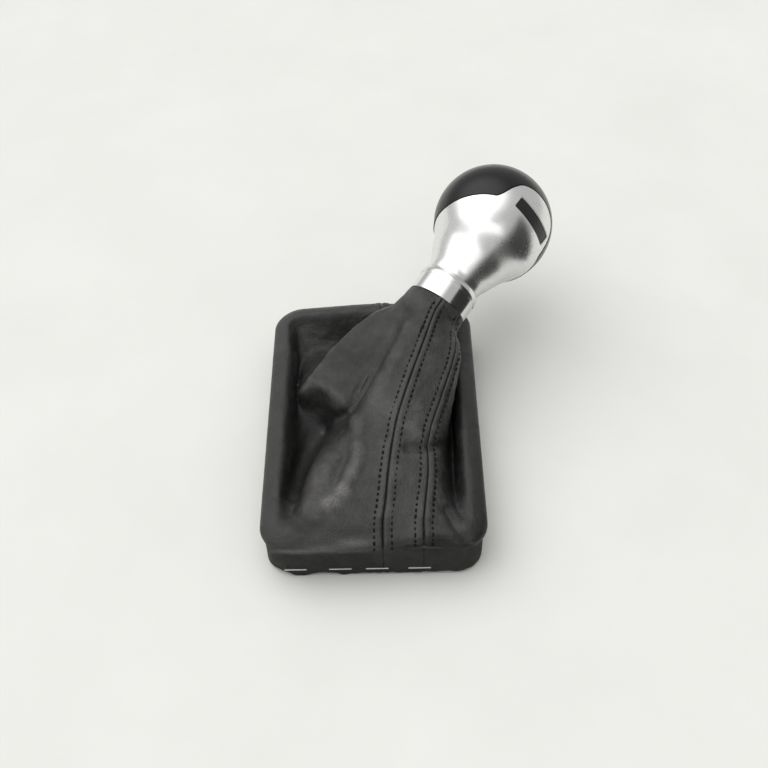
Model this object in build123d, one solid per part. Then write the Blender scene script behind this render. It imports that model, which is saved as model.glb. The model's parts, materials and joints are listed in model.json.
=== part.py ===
from build123d import *
import math
import os

# Driving dimensions in millimetres and degrees, +Z up, origin on the floor under the middle of the frame

# Gaiter frame and the leather stretched over it
trim_width = 92.0
trim_length = 136.4
trim_height = 25.2
corner_radius = 13.0
leather = 1.2
leather_clear = 0.3
lip_height = 7.6
lip_overhang = 1.5
rim_width = 9.2
leather_edge_height = 2.0
wall_thickness = 2.2
lip_slope = 39.5
lip_ease = 0.4
lip_lift = 0.6
lip_crown = 0.7
rib_thickness = 1.6
rib_foot_height = 4.0
side_ribs = (-45.0, -15.0, 15.0, 45.0)
end_ribs = (-15.0, 15.0)
seam_gap = 0.3
wrap_steps = 10
fold_steps = 12
section_pitch = 7.0
normal_step = 1.2

# Staples that pin the leather to the wall, the front ones from the left end of the straight
staple_crown = 9.1
staple_wire_width = 0.75
staple_wire_thickness = 0.6
staple_height = 5.5
staple_bite = 3.5
front_staples = (1.0, 19.1, 34.1, 51.3)
left_staples = (-46.0, -23.0, 1.0, 24.0, 47.0)
right_staples = (-47.0, -24.0, 0.0, 22.0, 46.0)
rear_staples = (-27.0, -9.0, 10.0, 28.0)

# Knob: where it lies and how it leans back over the rear right corner
flange_centre = Vector(34.2, 56.0, 42.5)
lean_azimuth = 52.0
lean_elevation = 22.0
badge_turn = 54.0
head_roll = 8.5

# Knob shell, cap and badge
ball_radius = 27.3
ball_height = 39.0
neck_radius = 13.2
shell_foot = 4.4
shell_wall = 2.0
shell_join = -19.3
neck_flare = [(1.7, 5.6), (6.0, 14.6)]
parting_line = [(-20.0, -19.6), (-10.9, -18.4), (-0.2, -14.9), (9.5, -9.1), (18.0, -3.1), (24.0, 1.2)]
tongue_top = 16.0
tongue_side = [
    (4.5, 15.6), (9.1, 14.1), (12.3, 11.9), (14.3, 8.8), (15.5, 6.0), (16.6, 2.0), (17.8, -1.5), (19.2, -5.0)
]
parting_gap = 0.3
badge_length = 24.4
badge_height = 6.8
badge_corner = 0.8
badge_offset = 1.3
badge_rise = 3.6
badge_thickness = 1.0
badge_sink = 0.35
badge_clear = 0.05
badge_rim = 0.5
badge_rim_sink = 0.1
window_near = 10.0
window_far = 40.0

# Carrier inside the knob and the pieces round its neck
lever_bore_radius = 5.3
lever_bore_depth = 50.0
pull_rod_radius = 2.4
core_neck_radius = 10.6
core_body_radius = 11.1
core_bottom = -24.0
core_disc_rise = 9.0
core_disc_thickness = 2.5
core_disc_clear = 0.2353
neck_slot_width = 1.6
neck_slot_length = 12.0
sleeve_clear = 0.1
neck_ring_foot_radius = 14.4
neck_ring_top_radius = 13.0
neck_ring_bulge = 0.6
collar_radius = 14.2
collar_shoulder = 8.3
collar_seat_radius = 12.7
collar_length = 9.6
gaiter_ring_radius = 12.3
gaiter_ring_length = 4.8
clamp_length = 6.0
clamp_thickness = 0.7
clamp_gap = 1.6
clamp_ear_rise = 1.8
clamp_ear_width = 4.0

# Leather neck of the gaiter
hem_radius = 14.2
hem_height = -8.5
hem_tube = 6.5
hem_flare = 0.9

# Release button on the side away from the badge
button_width = 13.0
button_height = 17.0
button_corner = 4.0
button_drop = -3.0
button_proud = 1.0
button_depth = 9.8
button_clear = 0.3
button_travel = 4.0
button_flange_depth = 5.9
button_flange = 2.0
button_flange_step = 1.0
stem_radius = 2.2
stem_clear = 0.1
stem_end = 4.0
stem_room = 2.0
ramp_length = 4.0
ramp_width = 6.0
spring_seat = 10.5
spring_radius = 3.4
spring_wire_radius = 0.35
spring_turns = 4
spring_clear = 0.05
spring_flat_depth = 10.0
spring_flat_margin = 4.0

# Reach of the cutting shapes, past the whole knob
beyond = 80.0


# Knob frame: Z up the lever, X out through the badge
azimuth = math.radians(lean_azimuth)
elevation = math.radians(lean_elevation)
turn = math.radians(badge_turn)
lever_axis = Vector(
    math.cos(elevation) * math.cos(azimuth),
    math.cos(elevation) * math.sin(azimuth),
    math.sin(elevation),
)
upper_side = Vector(
    -math.sin(elevation) * math.cos(azimuth),
    -math.sin(elevation) * math.sin(azimuth),
    math.cos(elevation),
)
right_side = lever_axis.cross(upper_side)
badge_side = upper_side * math.cos(turn) + right_side * math.sin(turn)
knob_place = Plane(origin=flange_centre, x_dir=badge_side, z_dir=lever_axis).location
head_place = Pos(0, 0, ball_height) * Rot(-head_roll, 0, 0)


def hem_point(angle, height, radius):
    around = upper_side * math.cos(math.radians(angle)) + right_side * math.sin(math.radians(angle))
    return flange_centre + lever_axis * height + around * radius


# Rim outline, walked clockwise from the middle of the front
half_front = trim_width / 2 - corner_radius
half_side = trim_length / 2 - corner_radius
corner_arc = math.pi * corner_radius / 2
rim_length = 4 * (half_front + half_side + corner_arc)
left_start = half_front + corner_arc
rear_start = left_start + 2 * half_side + corner_arc
right_start = rear_start + 2 * half_front + corner_arc
front_start = right_start + 2 * half_side + corner_arc


def on_front(x):
    return -x % rim_length


def on_left(y):
    return left_start + half_side + y


def on_rear(x):
    return rear_start + half_front + x


def on_right(y):
    return right_start + half_side - y


def rim_point(travel, inset, height):
    """Point at a height over the rim outline, moved in by inset along the outline's normal."""
    travel = travel % rim_length
    reach = corner_radius - inset
    sides = [
        (0.0, half_front, 0.0, -half_side, 270.0),
        (left_start, 2 * half_side, -half_front, -half_side, 180.0),
        (rear_start, 2 * half_front, -half_front, half_side, 90.0),
        (right_start, 2 * half_side, half_front, half_side, 0.0),
        (front_start, half_front, half_front, -half_side, -90.0),
    ]
    start, length, x, y, normal = [side for side in sides if side[0] <= travel][-1]
    straight = min(travel - start, length)
    heading = math.radians(normal)
    x += straight * math.sin(heading)
    y -= straight * math.cos(heading)
    heading -= (travel - start - straight) / corner_radius
    return Vector(x + reach * math.cos(heading), y + reach * math.sin(heading), height)


# Gaiter sections: place on the rim, angle on the neck, drop inside the rim and folds from rim to neck
seam_one = on_front(3.7)
seam_two = on_front(20.0)
rear_seam = on_rear(4.5)
gaiter_sections = [
    (seam_one, 28, 0.0,
     [(5, -50, 27.5), (6.2, -38, 31.5), (9.5, -18, 36.5), (14.3, -1.6, 40.5), (22, 20, 45.5)]),
    (on_front(-16), 5, 0.0,
     [(-15.5, -50, 26.5), (-11, -36, 28.5), (-5.5, -18, 31), (2.5, 4, 38), (14, 22.5, 44)]),
    (half_front + corner_arc / 2, -14, 0.5,
     [(-28, -49, 24.2), (-21.5, -32, 25.5), (-11, -12, 25.5), (-1.5, 8, 29.5), (11, 28, 41)]),
    (on_left(-28), -30, 1.0,
     [(-33, -26, 11), (-27, -8, 9.5), (-17, 4, 15), (-12.5, -1, 25.5), (4, 30, 38)]),
    (on_left(2), -50, 1.0,
     [(-34, 3, 11), (-29, 8, 10), (-22, 10, 15), (-22, 9, 25.5), (-6, 32, 34.5)]),
    (on_left(26), -72, 1.0,
     [(-34.5, 24, 12.5), (-34, 18, 17), (-31, 15, 24), (-20, 29.5, 30), (-2, 45.5, 36)]),
    (rear_start - corner_arc / 2, -98, 1.0,
     [(-30, 48, 12), (-24, 42, 13), (-14, 42, 18), (-4, 48, 25), (8, 56, 32)]),
    (rear_seam, -128, 1.0,
     [(5, 54, 12), (8, 48, 10), (13, 47, 14), (17, 50, 19), (20, 54.5, 25)]),
    (right_start - corner_arc / 2, -170, 1.0,
     [(31, 52, 13), (27, 46, 11), (25, 43, 14), (26, 45, 18), (28, 49.5, 22.5)]),
    (on_right(18), -220, 1.0,
     [(35, 19, 12), (33.5, 22, 11), (33.5, 26, 16), (34.5, 30, 21), (36.5, 37, 25)]),
    (on_right(-28), -248, 1.0,
     [(34.5, -27, 12), (32.5, -22, 13.5), (32, -12, 20), (35, 4, 27), (38.8, 22, 32.5)]),
    (front_start - corner_arc / 2, -266, 0.5,
     [(30.5, -50, 24), (29, -38, 26), (28.5, -20, 29), (33.5, -2, 32.5), (38.5, 20, 38)]),
    (seam_two, -283, 0.0,
     [(21, -50, 27), (22.5, -38, 29.5), (23.5, -20, 32.5), (29.5, -2, 37), (36, 18, 42)]),
]

lip_foot = trim_height - lip_height

# Leather over the lip: inset with the height over the lip's foot, then inset with the depth under the crest
lip_side = [(lip_overhang, -2.0), (0.6, 0.2), (0.0, 1.8)]
lip_crest = [(0.8, 3.9), (2.6, 2.6), (rim_width - 3.4, 0.9)]
front_inside = [(rim_width - 1.2, 0.1), (rim_width + 2.0, -0.7)]
side_inside = [(rim_width - 1.0, 0.5), (rim_width + 1.2, 4.6)]


def wrap_points(travel, drop):
    """Leather from its stapled edge, up the wall, round the lip and over the crest of the rim."""
    profile = [(lip_overhang, leather_edge_height), (lip_overhang, (leather_edge_height + lip_foot) / 2)]
    profile += [(inset, lip_foot + rise) for inset, rise in lip_side]
    profile += [(inset, trim_height - depth) for inset, depth in lip_crest]
    for (front, shallow), (side, deep) in zip(front_inside, side_inside):
        inset = front + (side - front) * drop
        profile.append((inset, trim_height - shallow - (deep - shallow) * drop))
    return [rim_point(travel, inset, height) for inset, height in profile]


def smooth(places, rows, target):
    """Each column's value at a target place, by a smooth curve through rows of values at places."""
    index = max(i for i in range(len(places) - 1) if places[i] <= target or i == 0)
    low, high = places[index], places[index + 1]
    span = high - low
    t = (target - low) / span
    before, after = max(index - 1, 0), min(index + 2, len(places) - 1)
    values = []
    for a, b, c, d in zip(rows[before], rows[index], rows[index + 1], rows[after]):
        slope_b = (c - a) / (high - places[before]) * span
        slope_c = (d - b) / (places[after] - low) * span
        start = (2 * t**3 - 3 * t**2 + 1) * b + (t**3 - 2 * t**2 + t) * slope_b
        values.append(start + (3 * t**2 - 2 * t**3) * c + (t**3 - t**2) * slope_c)
    return values


section_places = []
section_rows = []
for lap in (-1, 0, 1):
    for place, angle, drop, folds in gaiter_sections:
        section_places.append((place - seam_one) % rim_length + lap * rim_length)
        section_rows.append([angle - 360 * lap, drop] + [value for fold in folds for value in fold])


def between(travel):
    """Neck angle, drop and fold points at any place on the rim."""
    values = smooth(section_places, section_rows, (travel - seam_one) % rim_length)
    folds = [Vector(*values[k:k + 3]) for k in range(2, len(values), 3)]
    return values[0], min(max(values[1], 0.0), 1.0), folds


def evenly(line, split):
    """A smooth curve through a line's points, in even steps up to the split and even steps after it."""
    places = [0.0]
    for i in range(1, len(line)):
        places.append(places[-1] + (line[i] - line[i - 1]).length)
    rows = [tuple(point) for point in line]
    turn_in = places[split]
    steps = [turn_in * k / wrap_steps for k in range(wrap_steps)]
    steps += [turn_in + (places[-1] - turn_in) * k / fold_steps for k in range(fold_steps + 1)]
    return [Vector(*smooth(places, rows, step)) for step in steps]


def gaiter_points(travel):
    """Outer face of the leather along one line, from the stapled edge to the hem."""
    angle, drop, folds = between(travel)
    wrap = wrap_points(travel, drop)
    neck_foot = hem_point(angle, hem_height - hem_tube, hem_radius + hem_flare)
    neck = [neck_foot, hem_point(angle, hem_height, hem_radius)]
    return evenly(wrap + folds + neck, len(wrap) - 1)


def leather_panel(start, end):
    """One leather panel: an outer and an inner face through the gaiter lines, closed round its edges."""
    width = (end - start) % rim_length - seam_gap
    count = max(math.ceil(width / section_pitch), 2)
    places = [start + seam_gap / 2 + width * i / count for i in range(count + 1)]
    outer, inner = [], []
    for place in places:
        before, line, after = [gaiter_points(place + shift) for shift in (-normal_step, 0, normal_step)]
        back = []
        for i, point in enumerate(line):
            along = line[min(i + 1, len(line) - 1)] - line[max(i - 1, 0)]
            across = after[i] - before[i]
            back.append(point + across.cross(along).normalized() * leather)
        outer.append(line)
        inner.append(back)
    knots = [i / (wrap_steps + fold_steps) for i in range(wrap_steps + fold_steps + 1)]
    front = Shell.make_loft([Wire([Edge.make_spline(line, parameters=knots)]) for line in outer])
    back = Shell.make_loft([Wire([Edge.make_spline(line, parameters=knots)]) for line in inner])
    faces = front.faces() + back.faces()
    for edge in front.edges():
        partner = min(back.edges(), key=lambda other: (other @ 0.5 - edge @ 0.5).length)
        faces.append(Face.make_surface_from_curves(edge, partner))
    return Solid(Shell(faces))


gaiter_left_panel = leather_panel(seam_one, rear_seam)
gaiter_right_panel = leather_panel(rear_seam, seam_two)
gaiter_front_strip = leather_panel(seam_two, seam_one)


# Gaiter frame: a wall that stands on the console, a sloped lip round its top and ribs behind the wall
standing = (Align.CENTER, Align.CENTER, Align.MIN)
hanging = (Align.CENTER, Align.CENTER, Align.MAX)


def outline(inset):
    return RectangleRounded(trim_width - 2 * inset, trim_length - 2 * inset, corner_radius - inset)


def ring(outer_inset, inner_inset, low, high):
    return Pos(0, 0, low) * extrude(outline(outer_inset) - outline(inner_inset), high - low)


cover = leather + leather_clear
wall_outer = lip_overhang + cover
wall_inner = wall_outer + wall_thickness
lip_outer = cover + lip_ease
lip_inner = rim_width - cover - lip_ease
lip_low = lip_foot + lip_lift
lip_rise = (lip_inner - lip_crown - lip_outer) * math.tan(math.radians(lip_slope))

lip_block = Pos(0, 0, lip_low) * extrude(outline(lip_outer), lip_rise, taper=90 - lip_slope)
lip_ring = lip_block - Pos(0, 0, lip_low) * extrude(outline(lip_inner), lip_rise)
wall_ring = ring(wall_outer, wall_inner, 0, lip_low)
gaiter_frame = lip_ring + wall_ring
rib_depth = lip_inner - wall_inner
rib_height = lip_low - rib_foot_height
for side in (-1, 1):
    for y in side_ribs:
        x = side * (trim_width / 2 - wall_inner - rib_depth / 2)
        rib = Box(rib_depth, rib_thickness, rib_height, align=standing)
        gaiter_frame += Pos(x, y, rib_foot_height) * rib
    for x in end_ribs:
        y = side * (trim_length / 2 - wall_inner - rib_depth / 2)
        rib = Box(rib_thickness, rib_depth, rib_height, align=standing)
        gaiter_frame += Pos(x, y, rib_foot_height) * rib


# Staples: a crown flat on the leather and two legs driven through it into the wall
def staple(travel):
    at = rim_point(travel, lip_overhang, staple_height)
    outward = rim_point(travel, lip_overhang - 1, staple_height) - at
    crown_bar = Box(staple_crown, staple_wire_width, staple_wire_thickness, align=standing)
    leg = Box(staple_wire_thickness, staple_wire_width, staple_bite, align=hanging)
    leg_reach = (staple_crown - staple_wire_thickness) / 2
    wire = crown_bar + Pos(leg_reach, 0, 0) * leg + Pos(-leg_reach, 0, 0) * leg
    return Plane(origin=at, x_dir=outward.cross(Vector(0, 0, 1)), z_dir=outward).location * wire


def staple_row(places):
    return Compound([staple(place).solid() for place in places])


staples_front = staple_row([on_front(x - half_front) for x in front_staples])
staples_left = staple_row([on_left(y) for y in left_staples])
staples_right = staple_row([on_right(y) for y in right_staples])
staples_rear = staple_row([on_rear(x) for x in rear_staples])


# Knob shell and cap: a thin-walled ball on a flared neck, parted on a line that dips away from the badge
def ball(inset):
    """Solid of the knob's outside, or of its inside when drawn in by the wall."""
    radius = ball_radius - inset
    join = math.radians(shell_join)
    half_way = (join + math.pi / 2) / 2
    shoulder = (radius * math.cos(join), ball_height + radius * math.sin(join))
    foot_edge = (neck_radius - inset, shell_foot)
    flare = [(neck_radius + out - inset, shell_foot + up) for out, up in neck_flare]
    rise = (-math.sin(join), math.cos(join))
    top = (0, ball_height + radius)
    side = Spline(foot_edge, *flare, shoulder, tangents=[(0, 1), rise])
    middle = (radius * math.cos(half_way), ball_height + radius * math.sin(half_way))
    crown = ThreePointArc(shoulder, middle, top)
    foot = Polyline(top, (0, shell_foot), foot_edge)
    return revolve(Plane.XZ * make_face(side + crown + foot), Axis.Z)


def below_parting(grow):
    """Everything that belongs to the shell, in the rolled frame of the head, grown by a gap."""
    line = Spline(*[(x, z + grow) for x, z in parting_line])
    start, end, heading = line @ 0, line @ 1, line % 1
    far_rise = end.Y + (beyond - end.X) * heading.Y / heading.X
    below = [(beyond, far_rise), (beyond, -beyond), (-beyond, -beyond), (-beyond, start.Y)]
    dip = extrude(Plane.XZ * make_face(line + Polyline(end, *below, start)), beyond, both=True)
    right = [(y + grow, z + grow) for y, z in tongue_side]
    left = [(-y, z) for y, z in reversed(right)]
    top = Spline(*left, (0, tongue_top + grow), *right)
    base = Polyline(top @ 1, (right[-1][0], -beyond), (left[0][0], -beyond), top @ 0)
    tongue = extrude(Plane.YZ * make_face(top + base), beyond)
    return dip + tongue


def head_window(width, height, corner, near, far, rise, offset=0.0):
    """Rounded window through the head along X, in the rolled frame of the head."""
    window = Plane.YZ * Pos(offset, rise) * RectangleRounded(width, height, corner)
    return Pos(near, 0, 0) * extrude(window, far - near)


ball_wall = ball(0) - ball(shell_wall)
knob_shell = ball_wall & (head_place * below_parting(0))
top_cap = ball_wall - (head_place * below_parting(parting_gap))


def badge_window(inset):
    length = badge_length - 2 * inset
    height = badge_height - 2 * inset
    return head_window(length, height, badge_corner, window_near, window_far, badge_rise, badge_offset)


badge_floor = ball_radius - badge_sink - badge_thickness
badge_seat = Sphere(badge_floor + badge_clear)
knob_shell -= head_place * (badge_window(0) - Sphere(badge_floor))
rim_ring = badge_window(badge_clear) - badge_window(badge_rim)
badge_frame = head_place * (rim_ring & (Sphere(ball_radius - badge_rim_sink) - badge_seat))
badge_fill = badge_window(badge_rim + badge_clear)
badge_plate = head_place * (badge_fill & (Sphere(ball_radius - badge_sink) - badge_seat))

button_back = ball_radius - button_depth
button_flange_reach = ball_radius - button_flange_depth
button_hole = head_window(
    button_width + 2 * button_clear, button_height + 2 * button_clear, button_corner,
    -window_far, -window_near, button_drop,
)
top_cap -= head_place * button_hole


# Release button: a crowned face, a flange that stops it behind the cap and a stem that ends in a ramp
button_block = head_window(
    button_width, button_height, button_corner, -window_far, -button_back, button_drop
)
button_face = button_block & Sphere(ball_radius + button_proud)
flange_grow = 2 * button_flange_step
button_stop = head_window(
    button_width + flange_grow, button_height + flange_grow, button_corner,
    -button_flange_reach, button_flange - button_flange_reach, button_drop,
)
stem_length = button_back - stem_end
stem_place = Pos(-stem_end - stem_length / 2, 0, button_drop) * Rot(0, 90, 0)
stem = stem_place * Cylinder(stem_radius, stem_length)
ramp_place = Pos(-stem_end, 0, button_drop - stem_radius) * Rot(0, 45, 0)
ramp = ramp_place * Box(ramp_length, ramp_width, ramp_length)
release_button = head_place * (button_face + button_stop + stem - ramp)

# Spring between the back of the button and the flat of the carrier
spring_length = button_back - spring_seat - 2 * (spring_wire_radius + spring_clear)
spring_pitch = spring_length / spring_turns
coil = Helix(spring_pitch, spring_length, spring_radius)
wire_section = Plane(origin=coil @ 0, z_dir=coil % 0) * Circle(spring_wire_radius)
spring_start = -button_back + spring_wire_radius + spring_clear
spring_place = head_place * Pos(spring_start, 0, button_drop) * Rot(0, 90, 0)
button_spring = spring_place * sweep(wire_section, coil)


# Carrier: a slotted neck with the lever bore, a body in the shell and a disc that holds shell and cap
def turned(points):
    return revolve(Plane.XZ * make_face(Polyline(*points, points[0])), Axis.Z)


core_disc_low = ball_height + core_disc_rise
core_disc_high = core_disc_low + core_disc_thickness
core_disc_top = core_disc_rise + core_disc_thickness
core_disc_radius = math.sqrt((ball_radius - shell_wall) ** 2 - core_disc_top ** 2) - core_disc_clear
knob_core = turned([
    (0, core_bottom),
    (core_neck_radius, core_bottom),
    (core_neck_radius, shell_foot),
    (core_body_radius, shell_foot),
    (core_body_radius, core_disc_low),
    (core_disc_radius, core_disc_low),
    (core_disc_radius, core_disc_high),
    (0, core_disc_high),
])
bore_top = core_bottom + lever_bore_depth
rod_length = ball_height + button_drop - bore_top
knob_core -= Pos(0, 0, core_bottom) * Cylinder(lever_bore_radius, lever_bore_depth, align=standing)
knob_core -= Pos(0, 0, bore_top) * Cylinder(pull_rod_radius, rod_length, align=standing)
stem_bore_length = spring_seat - stem_end + button_travel + stem_room
stem_bore_place = Pos(stem_bore_length / 2 - spring_seat, 0, button_drop) * Rot(0, 90, 0)
stem_bore = stem_bore_place * Cylinder(stem_radius + stem_clear, stem_bore_length)
spring_flat_place = Pos(-spring_seat - spring_flat_depth / 2, 0, button_drop)
spring_flat_height = button_height + spring_flat_margin
spring_flat = spring_flat_place * Box(spring_flat_depth, 2 * core_disc_radius, spring_flat_height)
knob_core -= head_place * (stem_bore + spring_flat)
neck_slot = Box(4 * core_neck_radius, neck_slot_width, neck_slot_length, align=standing)
knob_core -= Pos(0, 0, core_bottom) * neck_slot

# Rings round the neck: bead, collar, the ring that holds the leather and the ear clamp
sleeve_bore = core_neck_radius + sleeve_clear
bead_foot = (neck_ring_foot_radius, 0)
bead_top = (neck_ring_top_radius, shell_foot)
bead_middle = ((neck_ring_foot_radius + neck_ring_top_radius) / 2 + neck_ring_bulge, shell_foot / 2)
bead_sides = Polyline(bead_top, (sleeve_bore, shell_foot), (sleeve_bore, 0), bead_foot)
bead_round = ThreePointArc(bead_foot, bead_middle, bead_top)
bead_face = make_face(bead_sides + bead_round)
neck_ring = revolve(Plane.XZ * bead_face, Axis.Z)


def tube(inner, outer, low, high):
    hollow = Circle(outer) - Circle(inner)
    return Pos(0, 0, low) * extrude(hollow, high - low)


collar_low = -collar_length
trim_collar = tube(sleeve_bore, collar_radius, -collar_shoulder, 0)
trim_collar += tube(sleeve_bore, collar_seat_radius, collar_low, -collar_shoulder)
gaiter_ring = tube(sleeve_bore, gaiter_ring_radius, collar_low - gaiter_ring_length, collar_low)
clamp_high = collar_low - gaiter_ring_length - clamp_gap
clamp_low = clamp_high - clamp_length
clamp_inner = core_neck_radius + sleeve_clear / 2
clamp_outer = clamp_inner + clamp_thickness
neck_clamp = tube(clamp_inner, clamp_outer, clamp_low, clamp_high)
ear_outer = Box(2 * clamp_ear_rise, clamp_ear_width, clamp_length)
ear_hollow = clamp_ear_rise - clamp_thickness
ear_inner = Box(2 * ear_hollow, clamp_ear_width - 2 * clamp_thickness, clamp_length)
ear_shell = (ear_outer - ear_inner) - Pos(clamp_outer, 0, 0) * Cylinder(clamp_inner, 2 * clamp_length)
neck_clamp += Pos(-clamp_outer, 0, (clamp_low + clamp_high) / 2) * ear_shell

knob_pieces = {
    "knob_shell": knob_shell,
    "top_cap": top_cap,
    "badge_frame": badge_frame,
    "badge_plate": badge_plate,
    "release_button": release_button,
    "button_spring": button_spring,
    "knob_core": knob_core,
    "neck_ring": neck_ring,
    "trim_collar": trim_collar,
    "gaiter_ring": gaiter_ring,
    "neck_clamp": neck_clamp,
}
pieces = {
    "gaiter_frame": gaiter_frame,
    "gaiter_left_panel": gaiter_left_panel,
    "gaiter_front_strip": gaiter_front_strip,
    "gaiter_right_panel": gaiter_right_panel,
    "staples_front": staples_front,
    "staples_left": staples_left,
    "staples_right": staples_right,
    "staples_rear": staples_rear,
}
for name, piece in knob_pieces.items():
    pieces[name] = knob_place * piece

os.makedirs("parts", exist_ok=True)
for name, piece in pieces.items():
    export_step(piece, f"parts/{name}.step")
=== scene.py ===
import json
import math

import bpy
import numpy as np
from mathutils import Matrix, Vector, noise


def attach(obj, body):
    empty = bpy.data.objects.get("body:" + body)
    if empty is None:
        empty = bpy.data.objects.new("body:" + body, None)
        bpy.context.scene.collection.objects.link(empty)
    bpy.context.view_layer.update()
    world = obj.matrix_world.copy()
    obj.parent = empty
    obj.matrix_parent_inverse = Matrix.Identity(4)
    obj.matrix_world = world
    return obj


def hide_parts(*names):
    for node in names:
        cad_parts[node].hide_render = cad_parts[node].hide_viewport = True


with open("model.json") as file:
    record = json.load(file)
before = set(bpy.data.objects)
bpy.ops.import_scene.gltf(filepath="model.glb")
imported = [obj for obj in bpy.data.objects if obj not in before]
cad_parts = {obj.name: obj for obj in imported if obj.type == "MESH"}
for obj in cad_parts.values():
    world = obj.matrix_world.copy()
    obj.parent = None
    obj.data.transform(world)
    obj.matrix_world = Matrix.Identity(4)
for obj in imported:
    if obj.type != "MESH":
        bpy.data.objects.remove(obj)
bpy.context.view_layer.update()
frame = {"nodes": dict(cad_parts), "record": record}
nodes = frame["nodes"]

MM = 0.001

# Sizes shared with the CAD source, in millimetres and degrees
trim_width = 92.0
trim_length = 136.4
trim_height = 25.2
corner_radius = 13.0
leather = 1.2
lip_height = 7.6
lip_overhang = 1.5
rim_width = 9.2
edge_height = 1.5
seam_gap = 0.08
flange_centre = np.array([34.2, 56.0, 42.5])
lean_azimuth = math.radians(52.0)
lean_elevation = math.radians(22.0)
hem_radius = 14.2
hem_height = -8.5
hem_tube = 6.5
hem_flare = 0.9

# Sampling of the leather
column_pitch = 0.9
wrap_rows = 60
fold_rows = 120

# Seams: stitch rows beside the seam, at the rim and at the neck
row_offset_rim = 3.5
row_offset_neck = 2.3
stitch_pitch = 2.6
stitch_length = 1.9
stitch_radius = 0.48

lever_axis = np.array([
    math.cos(lean_elevation) * math.cos(lean_azimuth),
    math.cos(lean_elevation) * math.sin(lean_azimuth),
    math.sin(lean_elevation),
])
upper_side = np.array([
    -math.sin(lean_elevation) * math.cos(lean_azimuth),
    -math.sin(lean_elevation) * math.sin(lean_azimuth),
    math.cos(lean_elevation),
])
right_side = np.cross(lever_axis, upper_side)

# The photograph's view, in millimetres and in pixels of a 768 wide picture
view_place = np.array([6.798, -302.19, 382.215])
view_right = np.array([0.9999, -0.0105, -0.0144])
view_up = np.array([0.0174, 0.7475, 0.6644])
view_ahead = np.array([-0.0038, 0.6644, -0.7474])
view_reach = 1080.0
view_half = 384.0


def in_view(points):
    """Where points in millimetres fall in the view."""
    away = points - view_place
    depth = away @ view_ahead
    across = view_half + view_reach * (away @ view_right) / depth
    down = view_half - view_reach * (away @ view_up) / depth
    return np.stack([across, down], axis=-1)


# Leather: colours, scales of its textures and depths of its relief in metres
leather_dark = (0.011, 0.0108, 0.0105)
leather_pale = (0.025, 0.0246, 0.024)
# Pale colour for worn ridges and for painted highlights
leather_wear_and_highlight = (0.15, 0.147, 0.14)
mottle_scale = 90.0
fleck_scale = 1300.0
sheen_scale = 160.0
grain_scale = 1250.0
crease_scale = 360.0
grain_depth = 0.0003
crease_depth = 0.0007
dull_roughness = 0.25

# Metal and plastic: scales of their textures and the spread of their roughness
metal_scale = 220.0
metal_spread = 0.05
tint_scale = 60.0
plastic_scale = 140.0
plastic_spread = 0.1
spark_scale = 1800.0
spark_depth = 0.0001


# Node materials
def new_material(name):
    material = bpy.data.materials.new(name)
    material.use_nodes = True
    tree = material.node_tree
    return material, tree, tree.nodes["Principled BSDF"]


def link(tree, source, target):
    tree.links.new(source, target)


def ramp(tree, factor, stops):
    node = tree.nodes.new("ShaderNodeValToRGB")
    elements = node.color_ramp.elements
    while len(elements) < len(stops):
        elements.new(0.5)
    for element, (place, colour) in zip(elements, stops):
        element.position = place
        element.color = (*colour, 1.0)
    link(tree, factor, node.inputs["Fac"])
    return node.outputs["Color"]


def grey(value):
    return (value, value, value)


def object_coordinates(tree):
    return tree.nodes.new("ShaderNodeTexCoord").outputs["Object"]


def noise_texture(tree, vector, scale, detail=3.0, rough=0.55):
    node = tree.nodes.new("ShaderNodeTexNoise")
    node.inputs["Scale"].default_value = scale
    node.inputs["Detail"].default_value = detail
    node.inputs["Roughness"].default_value = rough
    link(tree, vector, node.inputs["Vector"])
    return node.outputs["Fac"]


def cell_texture(tree, vector, scale):
    node = tree.nodes.new("ShaderNodeTexVoronoi")
    node.feature = "DISTANCE_TO_EDGE"
    node.inputs["Scale"].default_value = scale
    link(tree, vector, node.inputs["Vector"])
    return node.outputs["Distance"]


def bump(tree, height, strength, distance, normal=None):
    node = tree.nodes.new("ShaderNodeBump")
    node.inputs["Strength"].default_value = strength
    node.inputs["Distance"].default_value = distance
    link(tree, height, node.inputs["Height"])
    if normal is not None:
        link(tree, normal, node.inputs["Normal"])
    return node.outputs["Normal"]


def tint(tree, shader, place, scale, detail, dark, pale):
    """Base colour that varies between two colours."""
    cloud = noise_texture(tree, place, scale, detail)
    link(tree, ramp(tree, cloud, [(0.3, dark), (0.7, pale)]), shader.inputs["Base Color"])


def cloudy(tree, shader, place, scale, detail, rough, spread):
    """Roughness that varies a little to either side."""
    cloud = noise_texture(tree, place, scale, detail)
    stops = [(0.3, grey(rough * (1 - spread))), (0.7, grey(rough * (1 + spread)))]
    link(tree, ramp(tree, cloud, stops), shader.inputs["Roughness"])


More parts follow.
